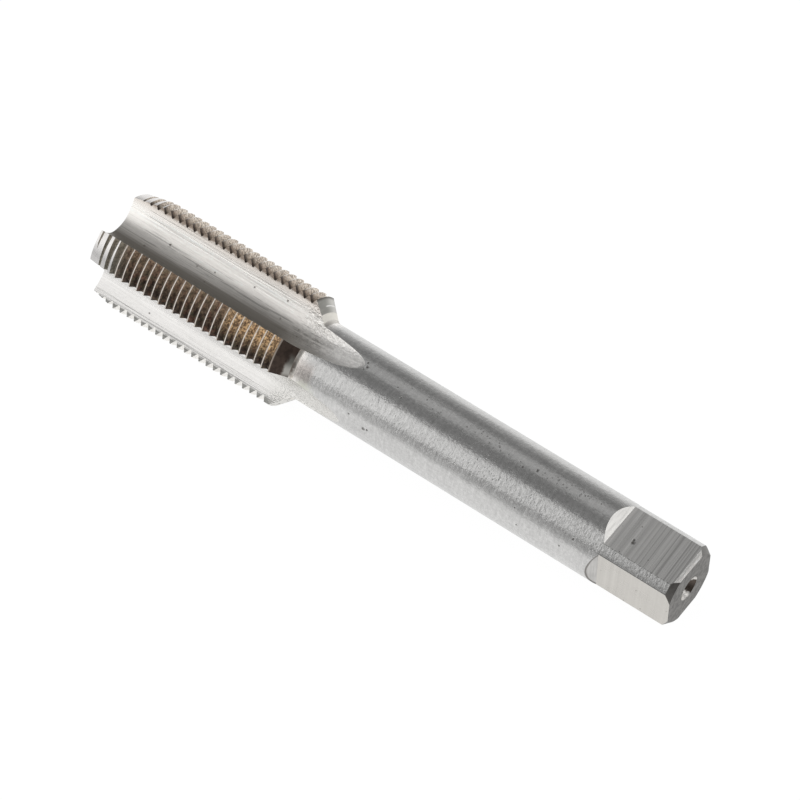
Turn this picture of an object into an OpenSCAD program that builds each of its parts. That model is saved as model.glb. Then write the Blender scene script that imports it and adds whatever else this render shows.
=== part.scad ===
// Hand tap for a metric fine thread, turned, milled and ground from one bar of high-speed steel.
// The tap lies along +X with its cutting end in front. The origin is on the axis, at the end
// face of the driving square, and +Z is square to one driving flat and to one flute.
// Angles around the axis are measured from +Z towards +Y.

/* [Overall] */
// Length from the square's end face to the front face
overall_len = 112; // [106:1:130]

/* [Thread] */
// Diameter over the thread crests
thread_d = 20; // [19:0.5:22]
// Distance from one thread to the next
pitch = 1.5; // [1.25:0.25:2]
// Length of the threaded lands, lead included
thread_len = 37; // [30:1:42]
// Radial height of a thread
thread_depth = 0.92; // [0.7:0.02:1]
// Axial width of the flat root of a groove
root_flat = 0.25; // [0.1:0.05:0.3]
// Middle of the first groove behind the front face, on the first land
first_groove = 0.62; // [0.3:0.02:1.4]

/* [Lead] */
// Length of the tapered lead at the front
lead_len = 5.2; // [3:0.2:9]
// How far the lead drops under the thread roots at the front face
lead_under = 0.11; // [0:0.01:0.4]
// Sideways shift of the lead's cone, which relieves each land behind its cutting edge
lead_relief = 0.5; // [0:0.05:0.6]

/* [Flutes] */
// Number of straight flutes
flute_count = 4; // [3:1:4]
// Diameter of the core under the flutes
core_d = 9.4; // [8.4:0.2:10.4]
// Length from the front face to the tip of the run-out on the shank
flute_len = 50; // [46:1:56]
// Radius of the run-out, as the milling cutter leaves it
cutter_r = 76; // [40:2:90]
// Radius of the flute's floor
floor_r = 4.8; // [4.4:0.1:5.2]
// Lowest point of the floor, off the flute's middle towards the cutting face
floor_shift = 0.5; // [0.2:0.1:0.8]
// Angle from the flute's middle to the cutting edge
edge_angle = 29; // [27:0.5:31]
// Rake of the cutting face against a radius through its edge
rake = 4; // [0:1:8]
// Angle from the flute's middle to the heel of the land before it
heel_angle = 27; // [25:0.5:30]
// Slope of the heel's side against the flute's middle plane
heel_slope = 31; // [25:1:36]

/* [Shank] */
// Diameter of the ground shank
shank_d = 14; // [13:0.2:15]
// Angle of the bevel behind the thread against the axis
bevel_angle = 45; // [35:1:60]
// Fillet where that bevel meets the shank
bevel_fillet = 1; // [0.4:0.1:2]

/* [Driving square] */
// Size across two flats
square_across = 11.2; // [10.4:0.1:12]
// Length of a flat from the end face to the foot of its shoulder
square_len = 13.2; // [10:0.2:18]
// Angle of the shoulder against the axis
shoulder_angle = 45; // [30:1:60]
// Axial size of the 45 degree chamfer round the end face
end_chamfer = 0.95; // [0.3:0.05:1.2]

/* [Centre holes] */
// Diameter of the pilot hole
pilot_d = 2; // [1.6:0.1:2.5]
// Depth of the pilot hole from the face to the end of its straight wall
pilot_depth = 4; // [3:0.1:6]
// Diameter of the 60 degree countersink at the face
sink_d = 4.25; // [3.4:0.05:5]

/* [Hidden] */
$fn = 96;
thread_r = thread_d / 2;
root_r = thread_r - thread_depth;
shank_r = shank_d / 2;
core_r = core_d / 2;
lead_front_r = root_r - lead_under;
// How far a cutting tool reaches past the surface that it opens into
past = 1;
// How far a groove tool reaches past the crests, less than half of the crest between two grooves
groove_past = 0.04;
flank_angle = 30;
sink_half_angle = 30;
drill_half_angle = 59;
land_step = 360 / flute_count;
// Middle and half width of a land, from the cutting edge to the heel
land_middle = (edge_angle + land_step - heel_angle) / 2;
land_half = (land_step - heel_angle - edge_angle) / 2;
// A groove or a lead cut reaches this far past each side of its land, inside the flutes
land_past = 8;
lead_angle = atan(pitch / (PI * (thread_d - thread_depth)));
thread_start = overall_len - thread_len;
bevel_foot = thread_start - (thread_r - shank_r) / tan(bevel_angle);
// Plain stretch of crest left between the last groove and the bevel
thread_runout = 0.2 * pitch;
// Where the flute reaches its full depth, from the tip of its run-out
floor_rise = cutter_r - (shank_r - core_r);
flute_full = overall_len - flute_len + sqrt(cutter_r * cutter_r - floor_rise * floor_rise);
// Far enough for the run-out to leave the shank and the bevel
runout_angle = acos(1 - (thread_r + past - core_r) / cutter_r);

// A point of a profile that is turned about the axis: axial place and radius
function turned(x, r) = [r, -x];
function direction(angle) = [sin(angle), cos(angle)];
// Where a line from p along unit vector u leaves the circle of centre c and radius r
function leaves(p, u, c, r) =
    let (w = p - c, b = w * u)
    p + (sqrt(b * b - w * w + r * r) - b) * u;

// Turns a profile about the axis, over all of it or over one sector centred on +Z
module turn(half_angle = 180) {
    rotate([0, -90, 0])
    rotate([0, 0, -half_angle])
    rotate_extrude(angle = 2 * half_angle)
    children();
}

// Places children at +Z on one land or flute
module at_angle(angle) {
    rotate([-angle, 0, 0])
    children();
}

// The turned blank: shank, chamfered end, bevel up to the thread and plain thread diameter
module blank() {
    fillet_reach = bevel_fillet * tan(bevel_angle / 2);
    fillet_centre = turned(bevel_foot - fillet_reach, shank_r + bevel_fillet);
    turn() difference() {
        polygon([
            turned(0, 0),
            turned(0, shank_r - end_chamfer),
            turned(end_chamfer, shank_r),
            turned(bevel_foot - fillet_reach, shank_r),
            fillet_centre,
            turned(bevel_foot + fillet_reach * cos(bevel_angle), shank_r + fillet_reach * sin(bevel_angle)),
            turned(thread_start, thread_r),
            turned(overall_len, thread_r),
            turned(overall_len, 0)
        ]);
        translate(fillet_centre) circle(bevel_fillet);
    }
}

// Section of a flute, outwards along y and towards the cutting face along x
module flute_section() {
    edge = thread_r * direction(edge_angle);
    heel = thread_r * direction(-heel_angle);
    face_in = -direction(edge_angle - rake);
    heel_in = -direction(-heel_slope);
    floor_centre = [floor_shift, core_r + floor_r];
    feet_y = max(
        leaves(edge, face_in, floor_centre, floor_r)[1],
        leaves(heel, heel_in, floor_centre, floor_r)[1]
    );
    // Both sides reach from the crest to below the floor
    side_depth = 1.3 * (thread_r - core_r);
    // From this height up the floor's circle is wider than the flute
    mouth_y = feet_y + (floor_centre[1] - feet_y) / 3;
    intersection() {
        union() {
            translate(floor_centre) circle(floor_r);
            translate([-thread_r, mouth_y]) square([thread_d, thread_r]);
        }
        polygon([
            heel - 2 * past * heel_in,
            heel + side_depth * heel_in,
            edge + side_depth * face_in,
            edge - 2 * past * face_in
        ]);
    }
}

// One flute at +Z: straight to its full depth, then a run-out of the cutter's radius
module flute() {
    translate([flute_full, 0, 0])
    rotate([90, 0, 90])
    linear_extrude(overall_len - flute_full + past)
    flute_section();
    translate([flute_full, 0, core_r + cutter_r])
    rotate([-90, 90, 0])
    rotate_extrude(angle = runout_angle)
    translate([core_r + cutter_r, 0])
    rotate(90)
    flute_section();
}

// One groove of the thread across a land at +Z, turned to the thread's lead angle
module groove() {
    root_half = root_flat / 2;
    mouth_half = root_half + (thread_depth + groove_past) * tan(flank_angle);
    rotate([0, 0, lead_angle])
    turn(land_half + land_past)
    polygon([
        turned(-root_half, root_r),
        turned(-mouth_half, thread_r + groove_past),
        turned(mouth_half, thread_r + groove_past),
        turned(root_half, root_r)
    ]);
}

// All grooves of one land, each land a share of the pitch behind the land before it
module land_grooves(land) {
    first = first_groove + pitch * land / flute_count;
    last = floor((thread_len - thread_runout - first) / pitch);
    for (i = [0:last]) {
        translate([overall_len - first - i * pitch, 0, 0])
        groove();
    }
}

// What the relieved lead takes off a land at +Z
module lead_cut() {
    slope = (thread_r - lead_front_r) / lead_len;
    translate([0, -lead_relief, 0])
    turn(land_half + land_past)
    polygon([
        turned(overall_len - lead_len - past, thread_r + slope * past),
        turned(overall_len + past, lead_front_r - slope * past),
        turned(overall_len + past, thread_r + slope * past)
    ]);
}

// What is milled off above one flat of the driving square
module square_cut() {
    flat_z = square_across / 2;
    top_z = shank_r + past;
    rotate([90, 0, 0])
    linear_extrude(2 * top_z, center = true)
    polygon([
        [-past, flat_z],
        [square_len, flat_z],
        [square_len + (top_z - flat_z) / tan(shoulder_angle), top_z],
        [-past, top_z]
    ]);
}

// Centre hole in the end face, with its countersink and drill point
module centre_hole() {
    pilot_r = pilot_d / 2;
    sink_r = sink_d / 2;
    turn() polygon([
        turned(-past, 0),
        turned(-past, sink_r + past * tan(sink_half_angle)),
        turned((sink_r - pilot_r) / tan(sink_half_angle), pilot_r),
        turned(pilot_depth, pilot_r),
        turned(pilot_depth + pilot_r / tan(drill_half_angle), 0)
    ]);
}

module tap() {
    color("silver")
    difference() {
        blank();
        for (i = [0:flute_count - 1]) {
            at_angle(i * land_step) flute();
            at_angle(land_middle + i * land_step) land_grooves(i);
            at_angle(land_middle + i * land_step) lead_cut();
        }
        for (side = [0:3]) {
            at_angle(side * 90) square_cut();
        }
        centre_hole();
        translate([overall_len, 0, 0]) mirror([1, 0, 0]) centre_hole();
    }
}

tap();
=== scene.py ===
"""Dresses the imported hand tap: ground shank, fluted and threaded cutting end, driving square.

Lengths on the tap are in millimetres until the finished mesh is scaled to metres. The lamps and
the floor are in metres. The tap lies along X with its cutting end in front, and angles round it
are in degrees from +Z towards +Y.
"""

import math

import bmesh
import bpy
from mathutils import Matrix, Vector


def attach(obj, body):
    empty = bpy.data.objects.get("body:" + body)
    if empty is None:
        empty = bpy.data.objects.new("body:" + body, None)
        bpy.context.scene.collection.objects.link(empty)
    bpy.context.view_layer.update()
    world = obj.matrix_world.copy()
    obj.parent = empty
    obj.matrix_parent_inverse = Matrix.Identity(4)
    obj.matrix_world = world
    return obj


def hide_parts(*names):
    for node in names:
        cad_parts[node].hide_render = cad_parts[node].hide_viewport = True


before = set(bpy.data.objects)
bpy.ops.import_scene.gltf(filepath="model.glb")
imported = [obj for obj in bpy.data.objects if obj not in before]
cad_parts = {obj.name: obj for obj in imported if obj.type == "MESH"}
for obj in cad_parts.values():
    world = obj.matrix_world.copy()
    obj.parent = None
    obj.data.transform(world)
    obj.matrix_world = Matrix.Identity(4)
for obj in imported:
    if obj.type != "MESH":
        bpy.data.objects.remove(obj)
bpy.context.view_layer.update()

MM = 0.001

# Sizes of the tap, as the solid has them
OVERALL_LEN = 112.0
THREAD_R = 10.0
THREAD_DEPTH = 0.92
ROOT_R = THREAD_R - THREAD_DEPTH
PITCH = 1.5
THREAD_LEN = 37.0
THREAD_START = OVERALL_LEN - THREAD_LEN
ROOT_FLAT = 0.25
FLANK = math.radians(30)
LEAD_LEN = 5.2
LEAD_UNDER = 0.11
LEAD_FRONT_R = ROOT_R - LEAD_UNDER
LEAD_RELIEF = 0.5
FLUTES = 4
CORE_R = 4.7
FLUTE_LEN = 50.0
CUTTER_R = 76.0
FLOOR_R = 4.8
FLOOR_SHIFT = 0.5
EDGE_ANGLE = 29.0
HEEL_ANGLE = 27.0
RAKE = 4.0
SHANK_R = 7.0
BEVEL_ANGLE = math.radians(45)
BEVEL_FILLET = 1.0
FLATS = 4
FLAT_Z = 5.6
SQUARE_LEN = 13.2
END_CHAMFER = 0.95
PILOT_R = 1.0
PILOT_DEPTH = 4.0
SINK_R = 2.125
SINK_HALF_ANGLE = math.radians(30)
DRILL_HALF_ANGLE = math.radians(59)
LAND_MIDDLE = (EDGE_ANGLE + 360 / FLUTES - HEEL_ANGLE) / 2
LAND_HALF = (360 / FLUTES - HEEL_ANGLE - EDGE_ANGLE) / 2

# How far a cutter reaches past what it opens into, and past the sides of a land in degrees
PAST = 1.0
LAND_PAST = 8.0

# A flute's heel side, more open than in the solid, and how softly its sides run into its floor
HEEL_SLOPE = 34.0
BLEND_FROM = 0.5
BLEND_TURN = math.radians(20)

# Wear that has a shape of its own
DRESSED_LEN = 0.7
DRESSED_DROP = 0.3

# A point nearer to the axis than ON_AXIS lies on it, and points closer than WELD are joined
ON_AXIS = 1e-6
WELD = 0.001

# The tap's middle, where the lamps point, their distance from it and half the floor's width
MIDDLE = Vector((OVERALL_LEN / 2 * MM, 0, 0))
LAMP_AWAY = 1.1
FLOOR_HALF = 3.0


def on_round(x, radius, angle):
    """A point on a cylinder about the axis."""
    return Vector((x, radius * math.sin(math.radians(angle)), radius * math.cos(math.radians(angle))))


def direction(angle):
    """A unit vector (y, z) square to the axis."""
    return Vector((math.sin(math.radians(angle)), math.cos(math.radians(angle))))


# The camera
def place_camera():
    """The photograph's camera, fitted to the tap's edges: its lens, turn and place."""
    photo_width_px = 800
    lens_px = 3451.244
    data = bpy.data.cameras.new("camera")
    data.sensor_width = 36
    data.lens = lens_px * data.sensor_width / photo_width_px
    data.clip_start = 0.01
    data.clip_end = 20
    camera = bpy.data.objects.new("camera", data)
    bpy.context.scene.collection.objects.link(camera)
    bpy.context.scene.camera = camera
    turn = Vector((0.890362403, -2.67692267, 0.855931216))
    rows = Matrix.Rotation(turn.length, 3, turn.normalized())
    right, down, forward = rows[0], rows[1], rows[2]
    pose = Matrix((right, -down, -forward)).transposed().to_4x4()
    pose.translation = Vector((-134.32774, 252.56675, 446.25325)) * MM
    camera.matrix_world = pose


# Node trees
class NodeWriter:
    """Adds nodes to a tree. An input given as a socket is linked, anything else is its value."""

    def __init__(self, tree):
        self.tree = tree

    def add(self, kind, inputs=None, **settings):
        """A new node with its settings and inputs."""
        made = self.tree.nodes.new(kind)
        for name, value in settings.items():
            setattr(made, name, value)
        for key, value in (inputs or {}).items():
            self.feed(made.inputs[key], value)
        return made

    def feed(self, socket, value):
        """Links or sets one input. A colour may come without its alpha."""
        if isinstance(value, bpy.types.NodeSocket):
            self.tree.links.new(value, socket)
        elif socket.type == "RGBA" and len(value) == 3:
            socket.default_value = (*value, 1.0)
        elif value is not None:
            socket.default_value = value

    def math(self, operation, a, b=None, c=None):
        """The result of an operation on up to three numbers."""
        made = self.add("ShaderNodeMath", operation=operation)
        for socket, value in zip(made.inputs, (a, b, c)):
            self.feed(socket, value)
        return made.outputs[0]

    def vector(self, operation, a, b=None, c=None, scale=None):
        """The result of an operation on vectors, a number for a distance."""
        made = self.add("ShaderNodeVectorMath", operation=operation)
        for key, value in ((0, a), (1, b), (2, c), ("Scale", scale)):
            if value is not None:
                self.feed(made.inputs[key], value)
        return made.outputs["Value" if operation == "DISTANCE" else "Vector"]


class Finish(NodeWriter):
    """The node tree of one finish. Its places are in millimetres and in degrees round the axis."""

    def __init__(self, name):
        self.material = bpy.data.materials.new(name)
        self.material.use_nodes = True
        self.material.node_tree.nodes.clear()
        super().__init__(self.material.node_tree)
        metres = self.add("ShaderNodeTexCoord").outputs["Object"]
        self.place = self.vector("SCALE", metres, scale=1 / MM)
        self.x, self.y, self.z = self.add("ShaderNodeSeparateXYZ", {0: self.place}).outputs
        square = self.math("MULTIPLY", self.z, self.z)
        self.radius = self.math("SQRT", self.math("MULTIPLY_ADD", self.y, self.y, square))
        self.angle = self.math("DEGREES", self.math("ARCTAN2", self.y, self.z))

    def ramp(self, value, low, high, at_low=0.0, at_high=1.0):
        """Goes softly from at_low to at_high as value goes from low to high, and is level beyond."""
        places = {"Value": value, "From Min": low, "From Max": high, "To Min": at_low, "To Max": at_high}
        return self.add("ShaderNodeMapRange", places, interpolation_type="SMOOTHSTEP").outputs["Result"]

    def band(self, value, low, high, soft):
        """1 between low and high, with soft ends."""
        rise = self.ramp(value, low - soft, low + soft)
        return self.math("MULTIPLY", rise, self.ramp(value, high + soft, high - soft))

    def both(self, *masks):
        """1 where every mask is."""
        made = masks[0]
        for mask in masks[1:]:
            made = self.math("MULTIPLY", made, mask)
        return made

    def grain(self, along, across, detail=2.0, seed=0.0):
        """Noise with so many waves per millimetre along the axis and across it."""
        spread = self.vector("MULTIPLY_ADD", self.place, (along, across, across), (seed, seed, seed))
        noise = {"Vector": spread, "Scale": 1.0, "Detail": detail, "Roughness": 0.55}
        return self.add("ShaderNodeTexNoise", noise).outputs["Fac"]

    def stripes(self, along, per_mm, seed=0.0):
        """Noise that changes along one length alone."""
        spread = self.math("MULTIPLY_ADD", along, per_mm, seed)
        noise = {"W": spread, "Scale": 1.0, "Detail": 2.0}
        return self.add("ShaderNodeTexNoise", noise, noise_dimensions="1D").outputs["Fac"]

    def pits(self, per_mm, size, share, seed=0.0):
        """1 in scattered pits: cells per millimetre, pit radius in cells, share of the cells with one."""
        shifted = self.vector("ADD", self.place, (seed, seed, seed))
        cells = self.add("ShaderNodeTexVoronoi", {"Vector": shifted, "Scale": per_mm}).outputs
        chance = self.add("ShaderNodeSeparateColor", {0: cells["Color"]}).outputs[0]
        pitted = self.math("LESS_THAN", chance, share)
        return self.both(self.ramp(cells["Distance"], size, 0.4 * size), pitted)

    def marks(self, places):
        """1 in single marks, each given by its middle and its radius, with a ragged rim."""
        rag = self.grain(2.5, 2.5)
        made = 0.0
        for middle, size in places:
            away = self.math("MULTIPLY_ADD", rag, 0.8 * size, self.vector("DISTANCE", self.place, middle))
            made = self.math("MAXIMUM", made, self.ramp(away, 1.4 * size, 0.6 * size))
        return made

    def hidden_lands(self):
        """1 on the two lands that face away from the camera."""
        seen_middle = -5.0
        seen_half = 85.0
        aside = self.math("ABSOLUTE", self.math("SUBTRACT", self.angle, seen_middle))
        return self.math("GREATER_THAN", aside, seen_half)

    def blend(self, share, first, second, strength=1.0):
        """A colour that goes from first to second as share goes from 0 to 1."""
        made = self.add("ShaderNodeMix", data_type="RGBA")
        self.feed(made.inputs[0], share if strength == 1.0 else self.math("MULTIPLY", share, strength))
        self.feed(made.inputs[6], first)
        self.feed(made.inputs[7], second)
        return made.outputs[2]

    def varied(self, colour, *grains):
        """A colour made lighter and darker by grains, each with its gain."""
        level = 1.0
        for grain, gain in grains:
            level = self.math("MULTIPLY", level, self.math("MULTIPLY_ADD", grain, gain, 1.0 - gain / 2))
        return self.vector("SCALE", colour, scale=level)

    def sum(self, start, *parts):
        """A start value and grains, each with its share: heights in millimetres, or a roughness."""
        total = start
        for part, share in parts:
            total = self.math("MULTIPLY_ADD", part, share, total)
        return total

    def done(self, colour, roughness, height, metallic=1.0):
        """The finished material, with its height as bump."""
        bump = self.add("ShaderNodeBump", {"Strength": 1.0, "Distance": MM, "Height": height}).outputs[0]
        look = {"Base Color": colour, "Roughness": roughness, "Metallic": metallic, "Normal": bump}
        shader = self.add("ShaderNodeBsdfPrincipled", look)
        self.add("ShaderNodeOutputMaterial", {"Surface": shader.outputs[0]})
        return self.material


# Finishes of the tap's surfaces. A pit on the shank has a place along it, an angle and a radius, and
# one in a flute a middle and a radius.
SHANK_PITS = (
    (61.5, 1, 0.3),
    (61.9, -5, 0.22),
    (61.8, 6, 0.2),
    (57.3, 79, 0.42),
    (56.6, 77, 0.25),
    (60.4, 69, 0.22),
    (53.8, 13, 0.2),
    (55.3, 3, 0.16),
    (28.6, 1, 0.3),
    (30.9, 8, 0.24),
    (19.7, 73, 0.2),
    (17.9, 53, 0.3),
    (27.6, 82, 0.2),
    (28.6, 58, 0.18),
    (17.2, -6, 0.16),
    (65.0, -13, 0.18),
    (40.2, 150, 0.3),
    (47.5, -120, 0.35),
    (22.0, -160, 0.25),
)
FLUTE_PITS = (
    ((102.7, -1.32, 5.12), 0.26),
    ((106.2, 1.06, 4.73), 0.3),
    ((86.0, -2.26, 5.93), 0.2),
    ((79.7, -2.91, 6.66), 0.2),
    ((96.6, -0.70, 4.85), 0.26),
    ((75.6, -0.30, 4.77), 0.3),
    ((71.4, 0.05, 4.72), 0.26),
    ((93.4, -1.29, 5.10), 0.2),
    ((79.4, -0.48, 4.80), 0.26),
    ((67.4, -0.91, 4.92), 0.3),
)


def ground_shank():
    """A ground cylinder with fine lines round it, a peened grain, pitted patches and old stains."""
    f = Finish("ground_shank")
    lines = f.grain(4.0, 0.12)
    peel = f.grain(1.7, 2.2, 3.0)
    scuff = f.grain(2.2, 0.7, 3.0, 17.0)
    cloud = f.grain(0.10, 0.25, 2.0, 4.0)
    patch = f.ramp(f.grain(0.10, 0.22, 1.0, 9.3), 0.46, 0.58)
    patch = f.both(patch, f.math("MAXIMUM", f.band(f.angle, -12, 10, 4), 0.22), f.ramp(f.x, 66, 61))
    small = f.both(f.pits(1.9, 0.36, 0.5), patch)
    large = f.marks([(on_round(x, SHANK_R, angle), size) for x, angle, size in SHANK_PITS])
    ragged = f.math("MULTIPLY_ADD", peel, 1.2, f.x)
    stain = f.both(f.band(ragged, 69.2, 72.6, 0.6), f.band(f.angle, 38, 66, 9))
    olive = f.marks([(on_round(69.4, SHANK_R, 78), 2.6)])
    bright = f.blend(f.ramp(ragged, 73.0, 70.0), (0.97, 0.935, 0.90), (0.605, 0.601, 0.592))
    colour = f.varied(bright, (lines, 0.20), (peel, 0.45), (scuff, 0.35), (cloud, 0.22))
    colour = f.blend(stain, colour, (0.36, 0.30, 0.265), 0.5)
    corner = f.both(f.ramp(f.x, 13.8, 13.0), f.band(f.angle, 37, 53, 1))
    inside = f.band(f.angle, 37.9, 52.1, 0.5)
    edges = f.both(corner, f.math("SUBTRACT", 1.0, inside))
    colour = f.blend(corner, colour, (0.46, 0.458, 0.45), 0.5)
    colour = f.blend(edges, colour, (0.12, 0.12, 0.115), 0.7)
    colour = f.blend(olive, colour, (0.60, 0.63, 0.47), 0.4)
    colour = f.blend(small, colour, (0.22, 0.21, 0.20), 0.45)
    colour = f.blend(large, colour, (0.10, 0.09, 0.08), 0.75)
    roughness = f.sum(0.20, (peel, 0.10), (small, 0.25), (large, 0.3))
    height = f.sum(0.0, (lines, 0.003), (peel, 0.028), (scuff, 0.018), (small, -0.05), (large, -0.12))
    return f.done(colour, roughness, height)


def ground_flute():
    """The flutes: lines along them, hammered run-outs, residue and painted shade under the land in view,
    rusty edges.
    """
    f = Finish("ground_flute")
    lines = f.grain(0.05, 2.4)
    fine = f.grain(0.12, 3.6, 3.0)
    furrow = f.grain(0.06, 2.7, 2.0, 6.0)
    lump = f.grain(1.5, 2.2, 2.0, 3.0)
    cloud = f.grain(0.12, 0.5, 2.0, 9.0)
    upper = f.ramp(f.angle, 60, 50)
    lower = f.ramp(f.angle, 55, 65)
    runout = f.ramp(f.x, 79.0, 73.0)
    tip = f.ramp(f.x, 73.0, 66.0)
    upper_tip = f.both(tip, upper)
    colour = f.blend(lower, (1.0, 0.97, 0.928), (0.80, 0.785, 0.765))
    colour = f.varied(colour, (lines, 0.2), (fine, 0.2), (lump, 0.14), (cloud, 0.10))
    rows = f.ramp(f.stripes(f.y, 3.4, 5.0), 0.44, 0.56)
    broken = f.ramp(f.grain(1.0, 0.8, 3.0, 12.0), 0.42, 0.54)
    dotted = f.both(rows, broken, f.ramp(f.x, 80.0, 74.0), f.band(f.angle, -8, 21, 8))
    colour = f.blend(dotted, colour, (0.30, 0.295, 0.285), 0.34)
    dimple = f.both(f.ramp(f.grain(2.4, 3.0, 2.0, 17.0), 0.42, 0.58), f.ramp(f.x, 78.0, 72.0))
    colour = f.blend(dimple, colour, (0.52, 0.515, 0.505), 0.26)
    colour = f.blend(upper_tip, colour, (0.88, 0.875, 0.865), 0.45)
    scratch = f.both(f.ramp(fine, 0.53, 0.66), f.band(f.angle, -18, 16, 6), f.ramp(f.x, 66.0, 72.0))
    colour = f.blend(scratch, colour, (0.15, 0.14, 0.13), 0.5)
    # Darker streaks in the flute under the land in view: partly residue, partly painted shade in its deep
    # corner by the cutting face.
    streak = f.math("MULTIPLY_ADD", lines, 20.0, f.ramp(f.x, 100.0, 82.0, -2.0, 6.0))
    streak = f.math("ADD", f.angle, streak)
    residue_and_painted_shade = f.both(f.ramp(streak, -5.0, 30.0), f.ramp(f.angle, 70, 60), f.ramp(f.x, 67.0, 79.0))
    colour = f.blend(residue_and_painted_shade, colour, (0.24, 0.222, 0.198), 0.93)
    low = f.both(f.ramp(f.angle, 5, 21), upper, f.ramp(f.x, 76.0, 70.0))
    colour = f.blend(low, colour, (0.34, 0.335, 0.325), 0.6)
    # Painted shade: a dark line along the rim of the flute's run-out tip.
    painted_rim_shade = f.both(f.ramp(f.radius, 6.84, 6.97), f.ramp(f.x, 67.0, 65.0), f.band(f.angle, 0, 30, 3))
    colour = f.blend(painted_rim_shade, colour, (0.15, 0.145, 0.14), 0.55)
    below = f.both(f.ramp(f.angle, 62, 72), f.ramp(f.x, 79.0, 74.0))
    colour = f.blend(below, colour, (0.70, 0.69, 0.655), 0.55)
    warm = f.both(f.ramp(f.radius, 7.6, 9.3), f.ramp(f.angle, 0, -10))
    colour = f.blend(warm, colour, (0.68, 0.61, 0.545), 0.7)
    creep = f.math("MULTIPLY_ADD", f.grain(1.1, 1.1, 3.0), 0.9, f.radius)
    rim = f.both(f.ramp(creep, 9.5, 9.9), f.ramp(f.x, 74.0, 76.0))
    rust = f.blend(lower, (0.30, 0.22, 0.16), (0.36, 0.36, 0.335))
    colour = f.blend(rim, colour, rust, 0.75)
    pit = f.math("MAXIMUM", f.marks(FLUTE_PITS), f.pits(0.8, 0.15, 0.06, 5.0))
    colour = f.blend(pit, colour, (0.22, 0.19, 0.17), 0.6)
    dull = f.both(f.ramp(f.angle, -27, -12), upper, f.ramp(f.x, 69.0, 78.0, 0.25, 1.0))
    roughness = f.sum(0.19, (lines, 0.10), (rim, 0.15), (dull, 0.30))
    height = f.sum(
        0.0,
        (f.both(furrow, runout, runout), 0.04),
        (dotted, -0.04),
        (dimple, -0.024),
        (f.both(lump, tip), 0.05),
        (f.both(lump, runout), 0.02),
        (lines, 0.035),
        (fine, 0.006),
        (pit, -0.08),
    )
    return f.done(colour, roughness, height, f.sum(1.0, (upper_tip, -0.28)))


def lead():
    """The ground taper of the first threads, worn bright."""
    f = Finish("lead")
    lines = f.grain(2.6, 0.3)
    smut = f.grain(1.2, 1.2, 3.0, 2.0)
    colour = f.blend(f.ramp(f.angle, 36, 52), (0.83, 0.805, 0.786), (0.61, 0.597, 0.588))
    colour = f.varied(colour, (lines, 0.16), (smut, 0.20))
    return f.done(colour, f.sum(0.22, (smut, 0.1)), f.sum(0.0, (lines, 0.015), (smut, 0.012)))


def thread_crest():
    """Narrow crests, bright where they cut and speckled with rust on the upper land."""
    f = Finish("thread_crest")
    smut = f.grain(2.2, 2.2, 3.0, 1.0)
    speck = f.ramp(f.grain(1.8, 2.2, 3.0, 8.0), 0.50, 0.58)
    upper = f.band(f.angle, -66, -22, 4)
    ragged = f.math("MULTIPLY_ADD", smut, 14.0, f.angle)
    heel = f.both(upper, f.ramp(ragged, -30, -22))
    bright = f.blend(f.band(f.angle, 20, 70, 4), (0.93, 0.885, 0.83), (0.76, 0.70, 0.64))
    colour = f.varied(bright, (smut, 0.6))
    colour = f.blend(f.both(speck, upper), colour, (0.36, 0.27, 0.20), 0.7)
    colour = f.blend(heel, colour, (0.11, 0.08, 0.06), 0.9)
    return f.done(colour, f.sum(0.34, (smut, 0.15)), f.sum(0.0, (smut, 0.03)))


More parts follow.
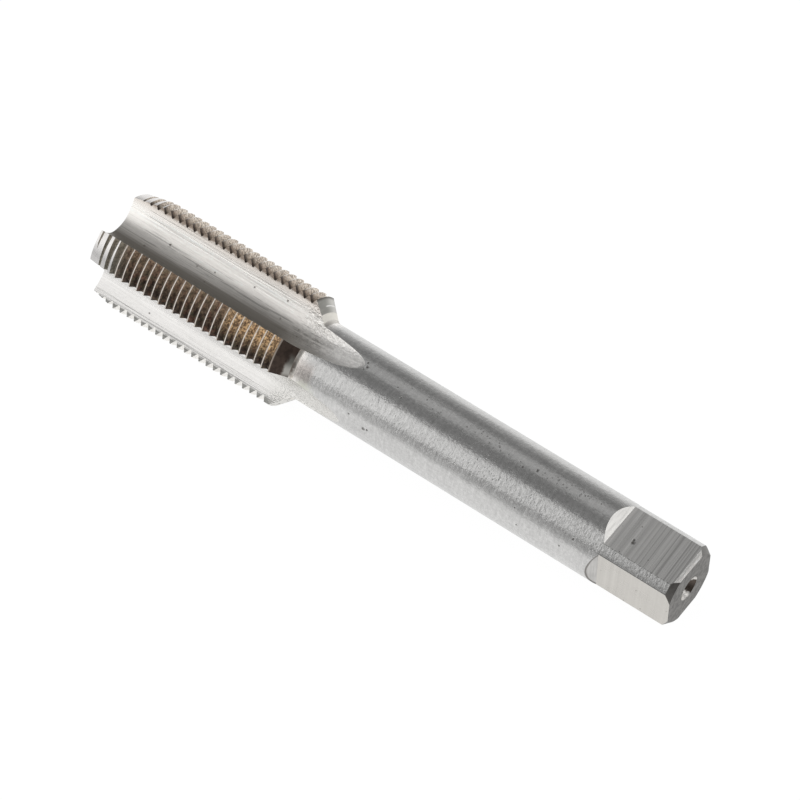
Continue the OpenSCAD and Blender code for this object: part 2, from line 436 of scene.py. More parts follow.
def thread_groove():
    """Thread grooves: rust, brown to black on the land in view, golden at its rear, pale on others."""
    f = Finish("thread_groove")
    blotch = f.grain(1.3, 1.5, 4.0)
    fleck = f.grain(2.9, 2.9, 3.0, 3.0)
    crumb = f.ramp(f.grain(2.6, 2.6, 4.0, 21.0), 0.42, 0.60)
    moss = f.ramp(f.grain(0.6, 0.8, 3.0, 7.0), 0.50, 0.62)
    red = f.ramp(f.grain(0.8, 0.9, 3.0, 12.0), 0.54, 0.62)
    dark = f.math("MULTIPLY_ADD", blotch, 1.1, f.ramp(f.angle, 30, 60, -0.20, 0.20))
    colour = f.blend(f.ramp(dark, 0.22, 0.85), (0.36, 0.255, 0.175), (0.042, 0.025, 0.016))
    colour = f.blend(red, colour, (0.24, 0.115, 0.075), 0.45)
    colour = f.blend(moss, colour, (0.135, 0.125, 0.075), 0.45)
    colour = f.blend(crumb, colour, (0.035, 0.024, 0.018), 0.45)
    fresh = f.ramp(f.x, 104.5, 107.5)
    colour = f.blend(fresh, colour, (0.24, 0.225, 0.185), 0.75)
    along = f.band(f.math("MULTIPLY_ADD", blotch, 5.0, f.x), 77.6, 87.8, 1.2)
    round_it = f.ramp(f.math("MULTIPLY_ADD", blotch, 14.0, f.angle), 66, 46)
    golden = f.both(along, round_it, f.ramp(f.angle, 20, 28), f.ramp(blotch, 0.32, 0.54))
    rich = f.blend(f.ramp(fleck, 0.4, 0.6), (0.28, 0.185, 0.11), (0.82, 0.585, 0.33))
    colour = f.blend(golden, colour, rich, 0.85)
    upper = f.band(f.angle, -70, -22, 4)
    ragged = f.math("MULTIPLY_ADD", fleck, 22.0, f.angle)
    clean = f.both(upper, f.ramp(ragged, -14, -31))
    colour = f.blend(clean, colour, (0.95, 0.875, 0.785), 0.88)
    colour = f.blend(f.both(upper, crumb), colour, (0.28, 0.21, 0.155), 0.6)
    heel = f.both(upper, f.ramp(f.angle, -34, -28))
    colour = f.blend(heel, colour, (0.045, 0.030, 0.022), 0.94)
    others = f.hidden_lands()
    pale = f.varied((0.95, 0.93, 0.895), (fleck, 0.5), (blotch, 0.3))
    colour = f.blend(others, f.varied(colour, (fleck, 2.1)), pale, 0.98)
    bare = f.math("MULTIPLY", f.math("MAXIMUM", clean, others), 0.85)
    uneven = f.sum(1.0, (others, -0.8))
    height = f.sum(0.0, (f.both(blotch, uneven), 0.06), (f.both(fleck, uneven), 0.10))
    roughness = f.sum(0.46, (fleck, 0.25), (others, -0.2))
    return f.done(colour, roughness, height, f.math("MAXIMUM", bare, 0.15))


def neck_bevel():
    """The bevel behind the thread: black oxide on the land in view, grey and bare beside it."""
    f = Finish("neck_bevel")
    lines = f.grain(3.0, 0.4)
    blotch = f.grain(0.9, 0.9, 3.0)
    colour = f.blend(f.ramp(blotch, 0.35, 0.65), (0.092, 0.068, 0.056), (0.054, 0.040, 0.034))
    foot = f.ramp(f.math("MULTIPLY_ADD", blotch, 1.2, f.radius), 8.9, 8.3)
    worn = f.blend(f.ramp(f.angle, 46, 58), (0.21, 0.205, 0.185), (0.52, 0.51, 0.475))
    colour = f.blend(f.both(foot, f.band(f.angle, 40, 66, 5)), colour, worn, 0.85)
    upper = f.band(f.angle, -70, -20, 3)
    grey = f.blend(f.ramp(f.angle, -36, -56), (0.35, 0.345, 0.32), (0.64, 0.63, 0.60))
    colour = f.blend(upper, colour, grey)
    # A lighter band where the groove meets the bevel: edge wear with a painted highlight.
    edge = f.both(f.ramp(f.radius, 9.60, 9.72), f.band(f.angle, 0, 80, 2))
    colour = f.blend(edge, colour, (0.56, 0.49, 0.43), 0.8)
    rim = f.both(upper, f.ramp(f.radius, 9.6, 9.95))
    colour = f.blend(rim, colour, (0.07, 0.06, 0.05), 0.7)
    upper_foot = f.both(upper, f.ramp(f.radius, 8.22, 8.08))
    colour = f.blend(upper_foot, colour, (0.84, 0.815, 0.755))
    # A small ridge on the upper land's bevel: a bump, with a painted highlight as its white line.
    ridge_and_painted_highlight = f.both(f.band(f.angle, -58, -38, 2), f.band(f.radius, 8.88, 9.0, 0.05))
    colour = f.blend(ridge_and_painted_highlight, colour, (0.90, 0.89, 0.87))
    chip = f.both(f.ramp(f.grain(1.3, 1.3, 3.0, 5.0), 0.54, 0.62), f.band(f.angle, 100, 150, 10))
    bare = f.blend(chip, (0.78, 0.77, 0.74), (0.20, 0.19, 0.17), 0.8)
    colour = f.blend(f.hidden_lands(), colour, bare)
    colour = f.varied(colour, (lines, 0.25), (blotch, 0.3))
    height = f.sum(0.0, (lines, 0.02), (blotch, 0.03), (ridge_and_painted_highlight, 0.03))
    return f.done(colour, f.sum(0.38, (blotch, 0.2)), height)


def neck_fillet():
    """The pale turned foot of the bevel, with a brown stain beside the flutes."""
    f = Finish("neck_fillet")
    lines = f.grain(3.4, 0.25)
    blotch = f.grain(0.8, 0.8, 3.0, 2.0)
    colour = f.varied((0.80, 0.765, 0.715), (lines, 0.25), (blotch, 0.25))
    colour = f.blend(f.ramp(blotch, 0.52, 0.66), colour, (0.42, 0.34, 0.27), 0.5)
    ragged = f.math("MULTIPLY_ADD", f.grain(2.0, 2.0, 3.0, 6.0), 0.9, f.x)
    brown = f.both(f.ramp(ragged, 72.0, 72.6), f.band(f.angle, 43, 66, 6))
    colour = f.blend(f.band(f.angle, -70, -20, 4), colour, (0.56, 0.54, 0.505), 0.6)
    colour = f.blend(brown, colour, (0.13, 0.105, 0.088), 0.9)
    return f.done(colour, f.sum(0.32, (blotch, 0.1)), f.sum(0.0, (lines, 0.02), (blotch, 0.02)))


def turned_face():
    """End faces: the square's end is dark and mottled, the front face is cleaner."""
    f = Finish("turned_face")
    ring = f.stripes(f.radius, 2.2)
    mottle = f.grain(1.1, 1.1, 4.0)
    fine = f.grain(3.5, 3.5, 2.0, 4.0)
    colour = f.blend(f.ramp(mottle, 0.40, 0.62), (0.172, 0.166, 0.156), (0.112, 0.107, 0.102))
    colour = f.blend(f.ramp(f.x, 50, 60), colour, (0.52, 0.51, 0.49))
    colour = f.varied(colour, (ring, 0.30), (fine, 0.35))
    return f.done(colour, f.sum(0.36, (mottle, 0.15)), f.sum(0.0, (ring, 0.03), (mottle, 0.04)))


def end_chamfer():
    """The chamfer on the square's corners, black in the corner that faces the camera."""
    f = Finish("end_chamfer")
    mottle = f.grain(1.4, 1.4, 3.0)
    colour = f.blend(f.band(f.angle, 25, 65, 6), (0.21, 0.205, 0.195), (0.11, 0.105, 0.10))
    colour = f.varied(colour, (mottle, 0.6))
    return f.done(colour, f.sum(0.34, (mottle, 0.2)), f.sum(0.0, (mottle, 0.04)))


def milled_flat():
    """Flats of the square, with the marks of the milling cutter across them."""
    f = Finish("milled_flat")
    lean = f.math("MULTIPLY_ADD", f.math("ADD", f.y, f.z), 0.05, f.x)
    sweep = f.stripes(lean, 1.3)
    score = f.stripes(lean, 2.8, 31.0)
    lines = f.grain(4.5, 0.08)
    cloud = f.grain(0.25, 0.30, 2.0, 3.0)
    side_on = f.band(f.angle, 48, 132, 3)
    plain = f.math("SUBTRACT", 1.0, side_on)
    cut = f.both(f.ramp(score, 0.52, 0.62), f.ramp(f.x, 10.0, 5.0, 0.35, 1.0), plain)
    dent = f.marks([(Vector((9.75, 1.45, FLAT_Z)), 0.42), (Vector((9.9, 1.0, FLAT_Z)), 0.3)])
    speck = f.pits(0.9, 0.14, 0.3, 2.0)
    scored = f.varied((0.585, 0.578, 0.565), (sweep, 0.5), (score, 0.5), (lines, 0.40), (cloud, 0.14))
    smooth = f.varied((0.60, 0.58, 0.545), (sweep, 0.16), (lines, 0.06), (cloud, 0.14))
    colour = f.blend(side_on, scored, smooth)
    foot = f.both(f.ramp(f.x, 12.2, 12.8), plain)
    colour = f.blend(foot, colour, (0.82, 0.80, 0.78), 0.45)
    colour = f.blend(cut, colour, (0.26, 0.255, 0.25), 0.6)
    colour = f.blend(f.math("MAXIMUM", dent, speck), colour, (0.12, 0.11, 0.10), 0.8)
    cutter_marks = f.both(f.math("ADD", sweep, score), plain)
    height = f.sum(0.0, (cutter_marks, 0.02), (lines, 0.008), (dent, -0.12))
    return f.done(colour, f.sum(0.22, (cloud, 0.12), (dent, 0.3)), height)


def milled_shoulder():
    """The bright shoulders where the milling cutter left the flats."""
    f = Finish("milled_shoulder")
    lines = f.grain(4.0, 0.3)
    cloud = f.grain(0.8, 0.8, 2.0, 3.0)
    side_on = f.band(f.angle, 50, 130, 4)
    colour = f.blend(side_on, (0.47, 0.462, 0.448), (0.54, 0.53, 0.515))
    colour = f.varied(colour, (lines, 0.7), (cloud, 0.25))
    rim = f.both(f.ramp(f.math("MULTIPLY_ADD", cloud, 0.2, f.radius), 6.82, 6.95), side_on)
    colour = f.blend(rim, colour, (0.13, 0.12, 0.11), 0.75)
    return f.done(colour, f.sum(0.28, (cloud, 0.1)), f.sum(0.0, (lines, 0.012)))


def dressed_edge():
    """An edge dressed by hand and burnished by the wrench, with a painted highlight along its outer side.
    """
    f = Finish("dressed_edge")
    rub = f.grain(3.5, 0.6, 3.0)
    # Lighter towards the end face: burnished metal, with a painted highlight along the outer side.
    bare = f.blend(f.ramp(f.x, 0.1, 0.5), (0.97, 0.94, 0.91), (0.74, 0.73, 0.71))
    colour = f.varied(bare, (rub, 0.8))
    return f.done(colour, f.sum(0.26, (rub, 0.12)), f.sum(0.0, (rub, 0.05)))


def countersink():
    """The drilled cone of a centre hole, rubbed bright in places, with painted shade on part of the rear
    cone's wall.
    """
    f = Finish("countersink")
    ring = f.stripes(f.radius, 4.0)
    smut = f.grain(1.5, 1.5, 3.0)
    colour = f.varied((0.80, 0.78, 0.75), (ring, 0.5), (smut, 0.5))
    # Painted shade: a dark patch on part of the rear cone's wall.
    ragged = f.math("MULTIPLY_ADD", smut, 70.0, f.angle)
    cone_painted_shade = f.both(f.band(ragged, -132, -62, 6), f.ramp(f.x, 60, 50))
    colour = f.blend(cone_painted_shade, colour, (0.06, 0.042, 0.032), 0.95)
    return f.done(colour, f.sum(0.30, (smut, 0.2)), f.sum(0.0, (ring, 0.01)))


def pilot_hole():
    """The pilot hole under a countersink, painted black for the shade inside it."""
    f = Finish("pilot_hole")
    smut = f.grain(1.5, 1.5, 3.0)
    colour = f.varied((0.022, 0.020, 0.018), (smut, 0.8))
    return f.done(colour, f.sum(0.55, (smut, 0.3)), f.sum(0.0, (smut, 0.03)), 0.0)


# Each finish, by the name that the blank and the cutters use
finishes = {
    "turned_face": turned_face(),
    "end_chamfer": end_chamfer(),
    "ground_shank": ground_shank(),
    "neck_fillet": neck_fillet(),
    "neck_bevel": neck_bevel(),
    "thread_crest": thread_crest(),
    "ground_flute": ground_flute(),
    "lead": lead(),
    "thread_groove": thread_groove(),
    "milled_flat": milled_flat(),
    "milled_shoulder": milled_shoulder(),
    "dressed_edge": dressed_edge(),
    "countersink": countersink(),
    "pilot_hole": pilot_hole(),
}


# The blank and the tools that cut it
def new_object(name, mesh):
    """An object of a mesh, in the scene."""
    made = bpy.data.objects.new(name, mesh)
    bpy.context.scene.collection.objects.link(made)
    return made


def finished_object(name, mesh, used):
    """Makes an object of a bmesh, with its faces outward and the finishes that it uses."""
    bmesh.ops.recalc_face_normals(mesh, faces=mesh.faces)
    made = bpy.data.meshes.new(name)
    mesh.to_mesh(made)
    mesh.free()
    for finish in used:
        made.materials.append(finishes[finish])
    return new_object(name, made)


def turned(name, profile, segments, half=180.0):
    """Turns points about the axis, over all of it or over a sector centred on +Z.

    A point is its x, its radius and the finish of the strip that starts there.
    """
    used = list(dict.fromkeys(finish for _, _, finish in profile))
    full = half >= 180
    steps = segments if full else segments + 1
    mesh = bmesh.new()
    rings = []
    for x, radius, _ in profile:
        if radius < ON_AXIS:
            rings.append([mesh.verts.new((x, 0, 0))] * steps)
            continue
        angles = [-half + 2 * half * i / segments for i in range(steps)]
        rings.append([mesh.verts.new(on_round(x, radius, angle)) for angle in angles])
    closed_by_axis = full and profile[0][1] < ON_AXIS and profile[-1][1] < ON_AXIS
    for k in range(len(rings) - 1 if closed_by_axis else len(rings)):
        a, b = rings[k], rings[(k + 1) % len(rings)]
        for i in range(segments):
            j = (i + 1) % steps
            corners = dict.fromkeys((a[i], b[i], b[j], a[j]))
            mesh.faces.new(list(corners)).material_index = used.index(profile[k][2])
    if not full:
        for i in (0, steps - 1):
            mesh.faces.new([ring[i] for ring in rings])
    return finished_object(name, mesh, used)


def swept(name, rings, strips):
    """A closed skin over rings of points. Each strip along the rings has its own finish."""
    used = list(dict.fromkeys(strips))
    mesh = bmesh.new()
    made_rings = [[mesh.verts.new(p) for p in ring] for ring in rings]
    count = len(rings[0])
    for a, b in zip(made_rings, made_rings[1:]):
        for i in range(count):
            j = (i + 1) % count
            mesh.faces.new((a[i], b[i], b[j], a[j])).material_index = used.index(strips[i])
    mesh.faces.new(made_rings[0])
    mesh.faces.new(made_rings[-1])
    return finished_object(name, mesh, used)


def leaves(p, u, centre, radius):
    """Where a line from p along the unit vector u leaves a circle."""
    w = p - centre
    b = w.dot(u)
    return p + (math.sqrt(b * b - w.dot(w) + radius * radius) - b) * u


def blended(start, along, end, centre):
    """Points of a soft curve from a flute's straight side to its round floor, without the last."""
    radial = (end - centre).normalized()
    control = start + along * (end - start).dot(radial) / along.dot(radial)
    steps = 12
    points = []
    for i in range(steps):
        t = i / steps
        points.append((1 - t) ** 2 * start + 2 * t * (1 - t) * control + t * t * end)
    return points


def blank():
    """The turned bar before it is fluted, threaded and squared."""
    reach = BEVEL_FILLET * math.tan(BEVEL_ANGLE / 2)
    foot = THREAD_START - (THREAD_R - SHANK_R) / math.tan(BEVEL_ANGLE)
    steps = 10
    fillet = []
    for i in range(steps + 1):
        t = BEVEL_ANGLE * i / steps
        x = foot - reach + BEVEL_FILLET * math.sin(t)
        radius = SHANK_R + BEVEL_FILLET * (1 - math.cos(t))
        fillet.append((x, radius, "neck_fillet" if i < steps else "neck_bevel"))
    profile = [
        (0, 0, "turned_face"),
        (0, SHANK_R - END_CHAMFER, "end_chamfer"),
        (END_CHAMFER, SHANK_R, "ground_shank"),
        *fillet,
        (THREAD_START, THREAD_R, "lead"),
        (OVERALL_LEN, THREAD_R, "turned_face"),
        (OVERALL_LEN, 0, "turned_face"),
    ]
    return turned("blank", profile, segments=288)


def flute_cutter():
    """What one pass of the flute cutter takes away: a straight run and its run-out."""
    edge = THREAD_R * direction(EDGE_ANGLE)
    heel = THREAD_R * direction(-HEEL_ANGLE)
    face_in = -direction(EDGE_ANGLE - RAKE)
    heel_in = -direction(-HEEL_SLOPE)
    centre = Vector((FLOOR_SHIFT, CORE_R + FLOOR_R))
    face_foot = leaves(edge, face_in, centre, FLOOR_R) - centre
    heel_foot = leaves(heel, heel_in, centre, FLOOR_R) - centre
    first = math.atan2(face_foot.y, face_foot.x) - BLEND_TURN
    last = math.atan2(heel_foot.y, heel_foot.x) + BLEND_TURN
    if last > first:
        last -= 2 * math.pi
    steps = 32
    floor = []
    for i in range(steps + 1):
        t = first + (last - first) * i / steps
        floor.append(centre + FLOOR_R * Vector((math.cos(t), math.sin(t))))
    face_side = blended(edge + BLEND_FROM * face_in, face_in, floor[0], centre)
    heel_side = blended(heel + BLEND_FROM * heel_in, heel_in, floor[-1], centre)
    mouth = (edge - 2 * PAST * face_in, heel - 2 * PAST * heel_in)
    section = [mouth[0], *face_side, *floor, *reversed(heel_side), mouth[1]]
    rise = CUTTER_R - (SHANK_R - CORE_R)
    full = OVERALL_LEN - FLUTE_LEN + math.sqrt(CUTTER_R**2 - rise**2)
    runout = math.acos(1 - (THREAD_R + PAST - CORE_R) / CUTTER_R)
    rings = [[(OVERALL_LEN + PAST, y, z) for y, z in section]]
    steps = 90
    for i in range(steps + 1):
        t = runout * i / steps
        ring = []
        for y, z in section:
            swing = CORE_R + CUTTER_R - z
            ring.append((full - swing * math.sin(t), y, CORE_R + CUTTER_R - swing * math.cos(t)))
        rings.append(ring)
    return swept("flute cutter", rings, ["ground_flute"] * len(section))


def lead_cutter():
    """What the relieved lead takes off one land."""
    slope = (THREAD_R - LEAD_FRONT_R) / LEAD_LEN
    top = THREAD_R + slope * PAST + PAST
    profile = [
        (OVERALL_LEN - LEAD_LEN - PAST, THREAD_R + slope * PAST, "lead"),
        (OVERALL_LEN + PAST, LEAD_FRONT_R - slope * PAST, "lead"),
        (OVERALL_LEN + PAST, top, "lead"),
        (OVERALL_LEN - LEAD_LEN - PAST, top, "lead"),
    ]
    made = turned("lead cutter", profile, segments=36, half=LAND_HALF + LAND_PAST)
    made.data.transform(Matrix.Translation((0, -LEAD_RELIEF, 0)))
    made.data.transform(Matrix.Rotation(math.radians(-LAND_MIDDLE), 4, "X"))
    return made


def flat_cutter():
    """What is milled off above one flat of the driving square, with its 45 degree shoulder."""
    top = SHANK_R + PAST
    side = [(-PAST, FLAT_Z), (SQUARE_LEN, FLAT_Z), (SQUARE_LEN + top - FLAT_Z, top), (-PAST, top)]
    rings = [[(x, y, z) for x, z in side] for y in (-top, top)]
    return swept("flat cutter", rings, ["milled_flat", "milled_shoulder", "milled_flat", "milled_flat"])


def edge_cutter():
    """What was dressed off the end of the upper flat."""
    slope = DRESSED_DROP / DRESSED_LEN
    side = [
        (-PAST, FLAT_Z - DRESSED_DROP - slope * PAST),
        (DRESSED_LEN, FLAT_Z),
        (DRESSED_LEN, FLAT_Z + PAST),
        (-PAST, FLAT_Z + PAST),
    ]
    rings = [[(x, y, z) for x, z in side] for y in (-SHANK_R, SHANK_R)]
    return swept("edge cutter", rings, ["dressed_edge"] * len(side))


def centre_cutter():
    """A centre drill: pilot with its point, and a countersink."""
    tan_sink = math.tan(SINK_HALF_ANGLE)
    profile = [
        (-PAST, 0, "countersink"),
        (-PAST, SINK_R + PAST * tan_sink, "countersink"),
        ((SINK_R - PILOT_R) / tan_sink, PILOT_R, "pilot_hole"),
        (PILOT_DEPTH, PILOT_R, "pilot_hole"),
        (PILOT_DEPTH + PILOT_R / math.tan(DRILL_HALF_ANGLE), 0, "pilot_hole"),
    ]
    return turned("centre cutter", profile, segments=64)


# Geometry nodes that machine the blank
def around(write, cutter, count):
    """Instances of a cutter, count times round the axis, the first of them as it is."""
    points = write.add("GeometryNodeMeshLine", {"Count": count, "Offset": (0, 0, 0)})
    index = write.add("GeometryNodeInputIndex").outputs[0]
    angle = write.math("MULTIPLY", index, write.math("DIVIDE", -2 * math.pi, count))
    turn = write.add("ShaderNodeCombineXYZ", {"X": angle}).outputs[0]
    laid = {"Points": points.outputs[0], "Instance": cutter, "Rotation": turn}
    return write.add("GeometryNodeInstanceOnPoints", laid).outputs[0]


def take_away(write, body, *cuts):
    """A body less its cuts. What a cut leaves has the cutter's finish."""
    made = write.add("GeometryNodeMeshBoolean", operation="DIFFERENCE", solver="MANIFOLD")
    write.feed(made.inputs["Mesh 1"], body)
    for cut in cuts:
        write.tree.links.new(cut, made.inputs["Mesh 2"])
    return made.outputs[0]


def moved(write, body, turn=None, place=None):
    """A body turned about the origin and then set at a place."""
    inputs = {"Geometry": body}
    if turn is not None:
        inputs["Rotation"] = turn
    if place is not None:
        inputs["Translation"] = place
    return write.add("GeometryNodeTransform", inputs).outputs[0]


def groove_nodes(write, given):
    """The groove: a four-sided profile led along a helix, its X away from the axis."""
    half_root = write.math("MULTIPLY", given["Root Flat"], 0.5)
    half_mouth = write.math("MULTIPLY", given["Groove Mouth"], 0.5)
    corners = (
        (0.0, write.math("MULTIPLY", half_root, -1.0)),
        (given["Groove Depth"], write.math("MULTIPLY", half_mouth, -1.0)),
        (given["Groove Depth"], half_mouth),
        (0.0, half_root),
    )
    profile = write.add("GeometryNodeCurvePrimitiveQuadrilateral", mode="POINTS")
    for i, (out, along) in enumerate(corners):
        corner = write.add("ShaderNodeCombineXYZ", {"X": out, "Y": along})
        write.feed(profile.inputs[f"Point {i + 1}"], corner.outputs[0])
    turns = {
        "Resolution": given["Steps per Turn"],
        "Rotations": given["Turns"],
        "Start Radius": given["Root Radius"],
        "End Radius": given["Root Radius"],
        "Height": write.math("MULTIPLY", given["Pitch"], given["Turns"]),
        "Reverse": True,
    }
    helix = write.add("GeometryNodeCurveSpiral", turns)
    upright = write.add("GeometryNodeSetCurveNormal", {"Curve": helix.outputs[0]}, mode="Z_UP")
    sweep = {"Curve": upright.outputs[0], "Profile Curve": profile.outputs[0], "Fill Caps": True}
    groove = write.add("GeometryNodeCurveToMesh", sweep).outputs[0]
    rusty = {"Geometry": groove, "Material": given["Groove Finish"]}
    groove = write.add("GeometryNodeSetMaterial", rusty).outputs[0]
    flip = write.math("SUBTRACT", math.pi, given["Thread Start Angle"])
    laid = moved(write, groove, (0, math.pi / 2, 0))
    turn = write.add("ShaderNodeCombineXYZ", {"X": flip}).outputs[0]
    start = write.add("ShaderNodeCombineXYZ", {"X": given["Thread Start"]}).outputs[0]
    return moved(write, laid, turn, start)


def machining_tree():
    """Flutes, thread, lead, square and centre holes cut from the blank, each from its own inputs."""
    tree = bpy.data.node_groups.new("machine the tap", "GeometryNodeTree")
    tree.is_modifier = True
    inputs = (
        ("Blank", "Geometry", None),
        ("Flutes", "Int", 4),
        ("Flats", "Int", 4),
        ("Flute Cutter", "Object", None),
        ("Lead Cutter", "Object", None),
        ("Flat Cutter", "Object", None),
        ("Edge Cutter", "Object", None),
        ("Centre Cutter", "Object", None),
        ("Overall Length", "Float", 100.0),
        ("Pitch", "Float", 1.0),
        ("Root Radius", "Float", 9.0),
        ("Groove Depth", "Float", 1.0),
        ("Root Flat", "Float", 0.2),
        ("Groove Mouth", "Float", 1.3),
        ("Thread Start", "Float", 75.0),
        ("Thread Start Angle", "Float", 0.0),
        ("Turns", "Float", 25.0),
        ("Steps per Turn", "Int", 180),
        ("Groove Finish", "Material", None),
        ("Smooth Below", "Float", 0.16),
        ("Crest Radius", "Float", 9.99),
        ("Crest Finish", "Material", None),
    )
    for name, kind, value in inputs:
        socket = tree.interface.new_socket(name, in_out="INPUT", socket_type=f"NodeSocket{kind}")
        if value is not None:
            socket.default_value = value
    tree.interface.new_socket("Tap", in_out="OUTPUT", socket_type="NodeSocketGeometry")
    write = NodeWriter(tree)
    given = write.add("NodeGroupInput").outputs

    def cutter(name):
        return write.add("GeometryNodeObjectInfo", {"Object": given[name]}).outputs["Geometry"]

    body = take_away(write, given["Blank"], around(write, cutter("Flute Cutter"), given["Flutes"]))
    body = take_away(write, body, groove_nodes(write, given))
    body = take_away(write, body, around(write, cutter("Lead Cutter"), given["Flutes"]))
    body = take_away(write, body, around(write, cutter("Flat Cutter"), given["Flats"]))
    body = take_away(write, body, cutter("Edge Cutter"))
    front = write.add("ShaderNodeCombineXYZ", {"X": given["Overall Length"]}).outputs[0]
    drill = cutter("Centre Cutter")
    body = take_away(write, body, drill, moved(write, drill, (0, 0, math.pi), front))
    body = write.add("GeometryNodeMergeByDistance", {"Geometry": body, "Distance": WELD}).outputs[0]
    body = write.add("GeometryNodeSetShadeSmooth", {"Geometry": body, "Shade Smooth": True}).outputs[0]
    bend = write.add("GeometryNodeInputMeshEdgeAngle").outputs["Unsigned Angle"]
    gentle = {"A": bend, "B": given["Smooth Below"]}
    soft = write.add("FunctionNodeCompare", gentle, operation="LESS_THAN").outputs[0]
    edges = {"Geometry": body, "Shade Smooth": soft}
    body = write.add("GeometryNodeSetShadeSmooth", edges, domain="EDGE").outputs[0]
    place = write.add("GeometryNodeInputPosition").outputs[0]
    _, y, z = write.add("ShaderNodeSeparateXYZ", {0: place}).outputs
    radius = write.math("SQRT", write.math("MULTIPLY_ADD", y, y, write.math("MULTIPLY", z, z)))
    reach = {"A": radius, "B": write.math("MULTIPLY", given["Crest Radius"], MM)}
    outside = write.add("FunctionNodeCompare", reach, operation="GREATER_THAN").outputs[0]
    body = write.add("GeometryNodeTransform", {"Geometry": body, "Scale": (MM, MM, MM)}).outputs[0]
    body = write.add("GeometryNodeRealizeInstances", {"Geometry": body}).outputs[0]
    crests = {"Geometry": body, "Selection": outside, "Material": given["Crest Finish"]}
    body = write.add("GeometryNodeSetMaterial", crests).outputs[0]
    write.add("NodeGroupOutput", {"Tap": body})
    return tree


def machine(name, base, tree, values):
    """Runs a tree on an object and returns the result as a plain mesh object."""
    modifier = base.modifiers.new(tree.name, "NODES")
    modifier.node_group = tree
    ids = {item.name: item.identifier for item in tree.interface.items_tree if item.in_out == "INPUT"}
    for key, value in values.items():
        modifier[ids[key]] = value
    bpy.context.view_layer.update()
    depsgraph = bpy.context.evaluated_depsgraph_get()
    mesh = bpy.data.meshes.new_from_object(base.evaluated_get(depsgraph))
    mesh.name = name
    base.modifiers.remove(modifier)
    return new_object(name, mesh)


def tap_body():
    """The tap: its blank, machined by the cutters and by a thread groove along a helix."""
    cutters = {
        "Flute Cutter": flute_cutter(),
        "Lead Cutter": lead_cutter(),
        "Flat Cutter": flat_cutter(),
        "Edge Cutter": edge_cutter(),
        "Centre Cutter": centre_cutter(),
    }
    bar = blank()
    groove_reach = 0.3
    start_angle = 90.0
    rear_groove_x = 75.385
    thread_from = rear_groove_x + (LAND_MIDDLE - start_angle) / 360 * PITCH
    sizes = {
        "Flutes": FLUTES,
        "Flats": FLATS,
        "Overall Length": OVERALL_LEN,
        "Pitch": PITCH,
        "Root Radius": ROOT_R,
        "Groove Depth": THREAD_DEPTH + groove_reach,
        "Root Flat": ROOT_FLAT,
        "Groove Mouth": ROOT_FLAT + 2 * (THREAD_DEPTH + groove_reach) * math.tan(FLANK),
        "Thread Start": thread_from,
        "Thread Start Angle": math.radians(start_angle),
        "Turns": (OVERALL_LEN + PAST - thread_from) / PITCH,
        "Steps per Turn": 180,
        "Groove Finish": finishes["thread_groove"],
        "Smooth Below": 0.16,
        "Crest Radius": THREAD_R - 0.01,
        "Crest Finish": finishes["thread_crest"],
    }
    tap = machine("tap_body", bar, machining_tree(), {**cutters, **sizes})
    for tool in (*cutters.values(), bar):
        bpy.data.objects.remove(tool)
    return tap


# Light and floor
def area_light(name, toward, shift, width, height, power):
    """A soft lamp that faces the tap from a direction, then shifted along the tap."""
    data = bpy.data.lights.new(name, "AREA")
    data.shape = "RECTANGLE"
    data.size = width
    data.size_y = height
    data.energy = power
    lamp = bpy.data.objects.new(name, data)
    bpy.context.scene.collection.objects.link(lamp)
    away = Vector(toward).normalized()
    along = Vector((1, 0, 0))
    across = away.cross(along).normalized()
    along = across.cross(away)
    lamp.matrix_world = Matrix((along, across, away)).transposed().to_4x4()
    lamp.matrix_world.translation = MIDDLE + LAMP_AWAY * away + Vector((shift, 0, 0))


def make_lights():
    """A key and a side lamp over +Y that end short of the square, a fill over -Y and a low end lamp."""
    area_light("key", (0, *direction(45)), 0.96, 1.4, 0.88, 3.4)
    area_light("side lamp", (0, *direction(77)), 1.15, 1.4, 0.46, 1.35)
    area_light("fill", (0, *direction(-33)), 0.2, 2.1, 0.58, 1.05)
    area_light("end lamp", (-0.816, -0.462, 0.348), 0.0, 0.6, 0.5, 1.75)


def floor_material():
    """White to the camera and near the tap in reflections, pale elsewhere, and clear from below."""
    material = bpy.data.materials.new("white_floor")
    material.use_nodes = True
    tree = material.node_tree
    tree.nodes.clear()
    write = NodeWriter(tree)
    path = write.add("ShaderNodeLightPath").outputs
    mirrored = write.math("MAXIMUM", path["Is Glossy Ray"], path["Is Transmission Ray"])
    seen = write.math("MAXIMUM", path["Is Camera Ray"], mirrored)
    place = write.add("ShaderNodeTexCoord").outputs["Object"]
    aside = write.math("ABSOLUTE", write.add("ShaderNodeSeparateXYZ", {0: place}).outputs["Y"])
    fall = {"Value": aside, "From Min": 0.05, "From Max": 0.25, "To Min": 0.95, "To Max": 0.45}
    fall = write.add("ShaderNodeMapRange", fall, interpolation_type="SMOOTHSTEP").outputs["Result"]
    bright = write.math("MAXIMUM", fall, path["Is Camera Ray"])
    paint = write.add("ShaderNodeBsdfDiffuse", {"Color": (0.85, 0.85, 0.85)})
    glow = write.add("ShaderNodeEmission", {"Strength": write.math("MULTIPLY", bright, 1.05)})
    share = write.math("MULTIPLY", seen, 0.9)
    mix = write.add("ShaderNodeMixShader", {0: share, 1: paint.outputs[0], 2: glow.outputs[0]})
    below = write.add("ShaderNodeNewGeometry").outputs["Backfacing"]
    clear = write.add("ShaderNodeBsdfTransparent")
    mix = write.add("ShaderNodeMixShader", {0: below, 1: mix.outputs[0], 2: clear.outputs[0]})
    write.add("ShaderNodeOutputMaterial", {"Surface": mix.outputs[0]})
    return material


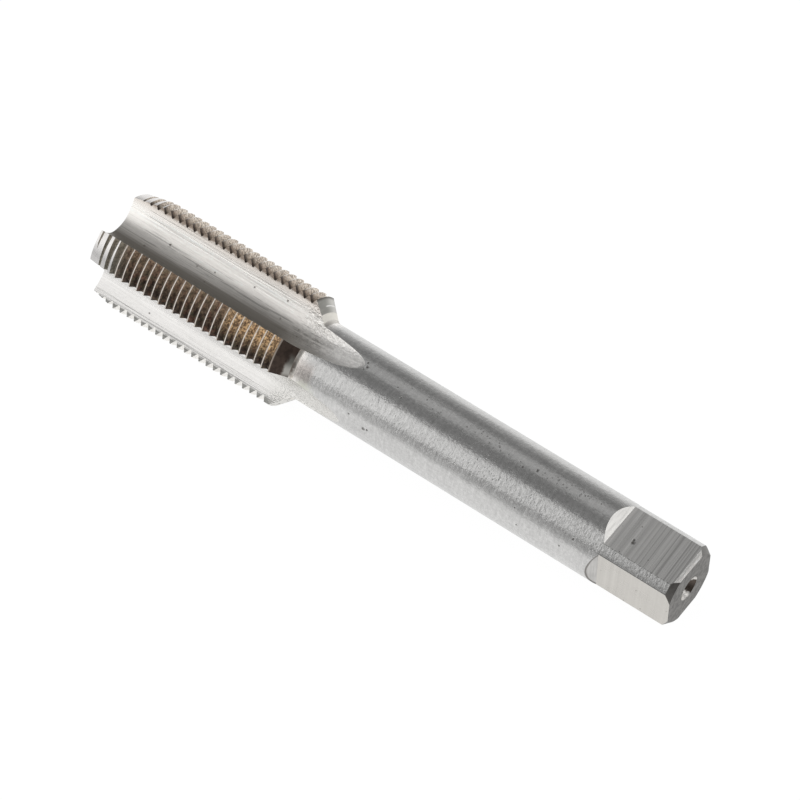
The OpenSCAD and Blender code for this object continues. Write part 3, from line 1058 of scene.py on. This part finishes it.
def rest_plane():
    """The plane under the tap, through the shank's rear and two lands, as a point and a normal."""
    shank_rear = Vector((SQUARE_LEN + SHANK_R - FLAT_Z, 0, -SHANK_R))
    low_edges = (180 - HEEL_ANGLE, 180 + EDGE_ANGLE)
    lands = [on_round(THREAD_START, THREAD_R, angle) for angle in low_edges]
    across = (lands[0] - lands[1]).normalized()
    normal = across.cross(lands[0] - shank_rear).normalized()
    return lands[0], normal if normal.z > 0 else -normal


def make_floor():
    """A wide floor under the tap as it lies."""
    point, normal = rest_plane()
    mesh = bmesh.new()
    bmesh.ops.create_grid(mesh, x_segments=1, y_segments=1, size=FLOOR_HALF)
    data = bpy.data.meshes.new("floor")
    mesh.to_mesh(data)
    mesh.free()
    data.materials.append(floor_material())
    floor = new_object("floor", data)
    tilt = Vector((0, 0, 1)).rotation_difference(normal).to_matrix().to_4x4()
    floor.matrix_world = Matrix.Translation(point * MM) @ tilt


def make_world():
    """A plain studio: an even light, white to the camera, with dim walls and ceiling in reflections."""
    world = bpy.data.worlds.new("studio")
    bpy.context.scene.world = world
    world.use_nodes = True
    tree = world.node_tree
    tree.nodes.clear()
    write = NodeWriter(tree)
    path = write.add("ShaderNodeLightPath").outputs
    toward = write.add("ShaderNodeTexCoord").outputs["Generated"]
    rise = write.add("ShaderNodeSeparateXYZ", {0: toward}).outputs["Z"]
    lift = {"Value": rise, "From Min": 0.0, "From Max": 0.45, "To Min": 0.50, "To Max": 0.22}
    ceiling = write.add("ShaderNodeMapRange", lift, interpolation_type="SMOOTHSTEP").outputs["Result"]
    mirrored = write.math("MAXIMUM", path["Is Glossy Ray"], path["Is Transmission Ray"])
    even = write.add("ShaderNodeBackground", {"Color": (1, 1, 1), "Strength": 0.8})
    dim = write.add("ShaderNodeBackground", {"Color": (1, 1, 1), "Strength": ceiling})
    white = write.add("ShaderNodeBackground", {"Color": (1, 1, 1), "Strength": 1.0})
    mix = write.add("ShaderNodeMixShader", {0: mirrored, 1: even.outputs[0], 2: dim.outputs[0]})
    seen = {0: path["Is Camera Ray"], 1: mix.outputs[0], 2: white.outputs[0]}
    mix = write.add("ShaderNodeMixShader", seen)
    write.add("ShaderNodeOutputWorld", {"Surface": mix.outputs[0]})


# The tap on its floor, lit and seen by the camera
place_camera()
tap = tap_body()
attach(tap, "root")
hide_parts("tap")
make_floor()
make_world()
make_lights()

bpy.context.scene.view_settings.view_transform = "Standard"
